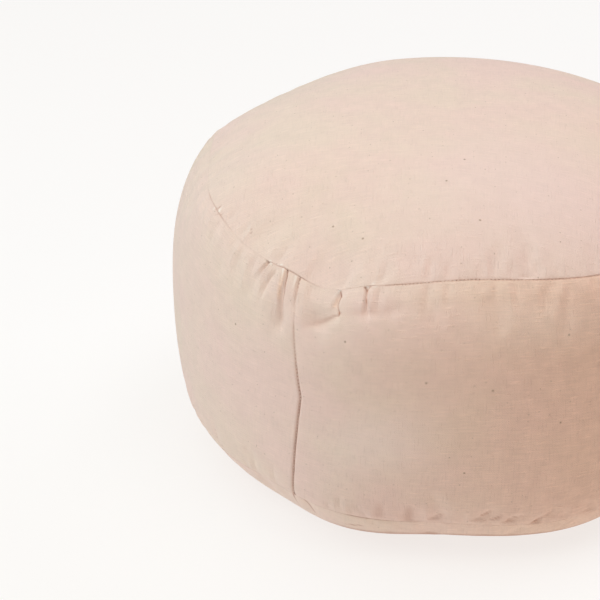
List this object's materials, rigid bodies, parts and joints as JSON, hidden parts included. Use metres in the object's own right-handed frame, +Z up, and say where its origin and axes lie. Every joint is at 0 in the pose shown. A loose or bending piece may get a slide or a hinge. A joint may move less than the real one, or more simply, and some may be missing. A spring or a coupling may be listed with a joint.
{
  "type": "zafu meditation cushion",
  "caption": "Round, firmly filled zafu meditation cushion with a crowned top panel, an upright side band with one join, and a flat-resting bottom panel.",
  "frame": {"origin": "on the floor, under the middle of the cushion's box", "axes": "+Z up through the crown, -Y towards the front, with the band's upright join at the front left, +X to the right"},
  "size_m": [0.3587, 0.3632, 0.224],
  "materials": {
    "cover_cloth": "matte plain-weave linen and cotton, pale blush, with slubs and small flecks"
  },
  "bodies": {
    "root": {"top_panel": "cover_cloth", "side_band": "cover_cloth", "bottom_panel": "cover_cloth"}
  },
  "joints": []
}
